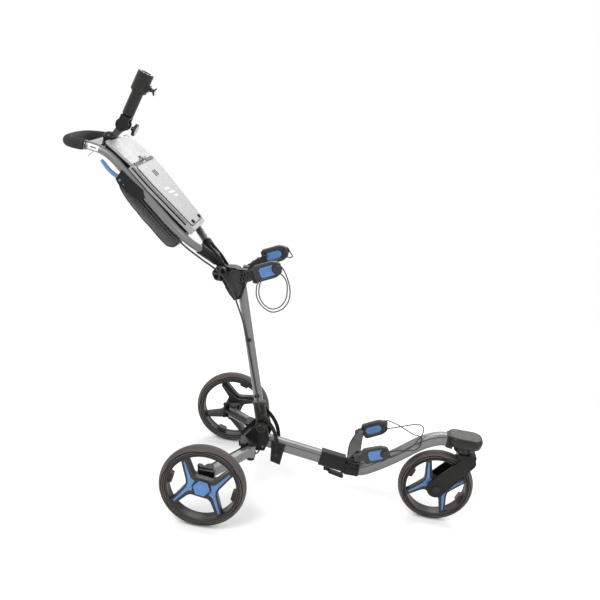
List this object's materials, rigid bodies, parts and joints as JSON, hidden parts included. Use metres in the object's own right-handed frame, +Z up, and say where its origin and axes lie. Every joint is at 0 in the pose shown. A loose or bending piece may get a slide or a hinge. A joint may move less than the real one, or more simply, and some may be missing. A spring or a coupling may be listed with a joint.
{
  "type": "golf push trolley",
  "caption": "Folding golf push trolley with a caster front wheel, bag cradles, a handle console with a pouch, a brake lever and an umbrella holder.",
  "frame": {"origin": "on the ground below the middle of the trolley's box", "axes": "+X forward to the front wheel, +Y to the trolley's left, +Z up"},
  "size_m": [1.454, 0.625, 1.3001],
  "materials": {
    "black_plastic": "moulded, fine texture",
    "paddle_plastic": "soft satin",
    "grey_metal": "metallic grey powder coat",
    "steel": "zinc plated",
    "tyre_rubber": "matt closed-cell tyre",
    "rim_plastic": "satin",
    "blue_plastic": "satin",
    "cap_plastic": "coarse grain top",
    "foam": "closed-cell foam",
    "gloss_black": "glossy",
    "silver_plastic": "satin",
    "pouch_fabric": "woven polyester",
    "cable_jacket": "smooth jacket",
    "elastic_cord": "braided sheath"
  },
  "bodies": {
    "chassis": {"hub_casting": "black_plastic", "hub_plates": "black_plastic", "fold_pin": "steel", "main_tube": "grey_metal", "tube_collar": "black_plastic", "front_tube": "grey_metal", "lower_cradle": "black_plastic", "lower_paddle_right": "paddle_plastic", "lower_paddle_left": "paddle_plastic", "caster_head": "cap_plastic", "bungee_lower": "elastic_cord"},
    "collar_lever": {"collar_lever": "black_plastic"},
    "slider": {"slider_bracket": "black_plastic"},
    "links": {"fold_links": "black_plastic"},
    "shaft": {"shaft_clamp": "black_plastic", "shaft_tube": "grey_metal", "hinge_body": "black_plastic", "shaft_cable": "cable_jacket"},
    "arm_right": {"arm_right": "grey_metal"},
    "arm_left": {"arm_left": "grey_metal"},
    "rod_right": {"rod_right": "black_plastic"},
    "rod_left": {"rod_left": "black_plastic"},
    "knuckle_right": {"knuckle_right": "black_plastic"},
    "knuckle_left": {"knuckle_left": "black_plastic"},
    "wheel_right": {"tyre_right": "tyre_rubber", "rim_right": "rim_plastic", "trim_right": "blue_plastic", "bearings_right": "steel"},
    "wheel_left": {"tyre_left": "tyre_rubber", "rim_left": "rim_plastic", "trim_left": "blue_plastic", "bearings_left": "steel"},
    "caster": {"caster_fork": "black_plastic", "front_axle": "steel"},
    "wheel_front": {"tyre_front": "tyre_rubber", "rim_front": "rim_plastic", "trim_front": "blue_plastic", "bearings_front": "steel"},
    "handle": {"yoke": "black_plastic", "handle_tube": "grey_metal", "grip": "foam", "accessory_plate": "gloss_black", "console_base": "silver_plastic", "pouch": "pouch_fabric", "brake_bracket": "black_plastic", "handle_cable": "cable_jacket"},
    "console_lid": {"console_lid": "silver_plastic"},
    "lid_latch": {"lid_latch": "black_plastic"},
    "brake_lever": {"brake_lever": "blue_plastic"},
    "hinge_knob": {"hinge_knob": "black_plastic"},
    "umbrella_holder": {"umbrella_knuckle": "black_plastic", "umbrella_tube": "black_plastic"},
    "umbrella_knob": {"umbrella_knob": "black_plastic"},
    "umbrella_screw": {"umbrella_screw": "black_plastic"},
    "upper_arm_right": {"upper_arm_right": "black_plastic"},
    "upper_arm_left": {"upper_arm_left": "black_plastic"},
    "upper_paddle_right": {"upper_paddle_right": "paddle_plastic", "bungee_upper_right": "elastic_cord"},
    "upper_paddle_left": {"upper_paddle_left": "paddle_plastic", "bungee_upper_left": "elastic_cord"}
  },
  "joints": [
    {"name": "shaft_fold", "type": "hinge", "parent": "chassis", "child": "shaft", "pos_m": [-0.004, 0, 0.233], "axis": [0, 1, 0], "range_deg": [0, 88]},
    {"name": "links_swing", "type": "hinge", "parent": "shaft", "child": "links", "pos_m": [-0.003, 0, 0.273], "axis": [0, 1, 0], "range_deg": [-113.5, 0]},
    {"name": "slider_slide", "type": "slide", "parent": "chassis", "child": "slider", "axis": [0.9921, 0, -0.1253], "range_m": [0, 0.0865]},
    {"name": "arm_right_fold", "type": "hinge", "parent": "chassis", "child": "arm_right", "pos_m": [-0.02, -0.084, 0.172], "axis": [0, 0, 1], "range_deg": [0, 93]},
    {"name": "arm_left_fold", "type": "hinge", "parent": "chassis", "child": "arm_left", "pos_m": [-0.02, 0.084, 0.172], "axis": [0, 0, 1], "range_deg": [-93, 0]},
    {"name": "rod_right_fold", "type": "hinge", "parent": "chassis", "child": "rod_right", "pos_m": [-0.049, -0.09, 0.172], "axis": [0, 0, 1], "range_deg": [0, 93]},
    {"name": "rod_left_fold", "type": "hinge", "parent": "chassis", "child": "rod_left", "pos_m": [-0.049, 0.09, 0.172], "axis": [0, 0, 1], "range_deg": [-93, 0]},
    {"name": "knuckle_right_turn", "type": "hinge", "parent": "arm_right", "child": "knuckle_right", "pos_m": [-0.13, -0.226, 0.142], "axis": [0, 0, 1], "range_deg": [-93, 0]},
    {"name": "knuckle_left_turn", "type": "hinge", "parent": "arm_left", "child": "knuckle_left", "pos_m": [-0.13, 0.226, 0.142], "axis": [0, 0, 1], "range_deg": [0, 93]},
    {"name": "wheel_right_spin", "type": "hinge", "parent": "knuckle_right", "child": "wheel_right", "pos_m": [-0.136, -0.29, 0.135], "axis": [0, 1, 0], "continuous": true},
    {"name": "wheel_left_spin", "type": "hinge", "parent": "knuckle_left", "child": "wheel_left", "pos_m": [-0.136, 0.29, 0.135], "axis": [0, 1, 0], "continuous": true},
    {"name": "caster_swivel", "type": "hinge", "parent": "chassis", "child": "caster", "pos_m": [0.664, 0, 0.262], "axis": [0, 0, 1], "continuous": true},
    {"name": "wheel_front_spin", "type": "hinge", "parent": "caster", "child": "wheel_front", "pos_m": [0.603, 0, 0.125], "axis": [0, 1, 0], "continuous": true},
    {"name": "handle_fold", "type": "hinge", "parent": "shaft", "child": "handle", "pos_m": [-0.205, 0, 0.731], "axis": [0, 1, 0], "range_deg": [-120, 0]},
    {"name": "console_lid_open", "type": "hinge", "parent": "handle", "child": "console_lid", "pos_m": [-0.577, 0, 1.085], "axis": [0, 1, 0], "range_deg": [-30, 0]},
    {"name": "lid_latch_lift", "type": "hinge", "parent": "console_lid", "child": "lid_latch", "pos_m": [-0.4885, 0, 1.04], "axis": [0, 1, 0], "range_deg": [-30, 0]},
    {"name": "brake_lever_pull", "type": "hinge", "parent": "handle", "child": "brake_lever", "pos_m": [-0.522, -0.11, 0.985], "axis": [0, 1, 0], "range_deg": [0, 6], "stiffness_Nm_per_rad": 2, "springref_deg": -5.73},
    {"name": "hinge_knob_turn", "type": "hinge", "parent": "handle", "child": "hinge_knob", "pos_m": [-0.205, 0, 0.731], "axis": [0, 1, 0], "range_deg": [-180, 180]},
    {"name": "umbrella_tilt", "type": "hinge", "parent": "handle", "child": "umbrella_holder", "pos_m": [-0.562, 0, 1.131], "axis": [0, 1, 0], "range_deg": [-60, 25]},
    {"name": "umbrella_knob_turn", "type": "hinge", "parent": "umbrella_holder", "child": "umbrella_knob", "pos_m": [-0.53, 0, 1.121], "axis": [0.9478, 0, -0.319], "range_deg": [-180, 180]},
    {"name": "umbrella_screw_turn", "type": "hinge", "parent": "umbrella_holder", "child": "umbrella_screw", "pos_m": [-0.52022, 0, 1.25516], "axis": [0.9478, 0, -0.319], "range_deg": [-180, 180]},
    {"name": "collar_lever_open", "type": "hinge", "parent": "chassis", "child": "collar_lever", "pos_m": [0.231, 0, 0.1135], "axis": [0, 1, 0], "range_deg": [0, 70]},
    {"name": "upper_arm_right_swing", "type": "hinge", "parent": "shaft", "child": "upper_arm_right", "pos_m": [-0.133, -0.026, 0.73], "axis": [0, 0, 1], "range_deg": [-15, 15]},
    {"name": "upper_arm_left_swing", "type": "hinge", "parent": "shaft", "child": "upper_arm_left", "pos_m": [-0.133, 0.026, 0.73], "axis": [0, 0, 1], "range_deg": [-15, 15]},
    {"name": "upper_paddle_right_turn", "type": "hinge", "parent": "upper_arm_right", "child": "upper_paddle_right", "pos_m": [-0.088, -0.083, 0.76], "axis": [0, 0, 1], "range_deg": [-15, 15]},
    {"name": "upper_paddle_left_turn", "type": "hinge", "parent": "upper_arm_left", "child": "upper_paddle_left", "pos_m": [-0.088, 0.083, 0.76], "axis": [0, 0, 1], "range_deg": [-15, 15]}
  ],
  "couplings": [
    {"joint": "links_swing", "follows": "shaft_fold", "ratio": -1.2842},
    {"joint": "slider_slide", "follows": "shaft_fold", "m_per_rad": 0.05609},
    {"joint": "arm_right_fold", "follows": "shaft_fold", "ratio": 1.0526},
    {"joint": "arm_left_fold", "follows": "shaft_fold", "ratio": -1.0526},
    {"joint": "rod_right_fold", "follows": "shaft_fold", "ratio": 1.0526},
    {"joint": "rod_left_fold", "follows": "shaft_fold", "ratio": -1.0526},
    {"joint": "knuckle_right_turn", "follows": "shaft_fold", "ratio": -1.0526},
    {"joint": "knuckle_left_turn", "follows": "shaft_fold", "ratio": 1.0526}
  ]
}
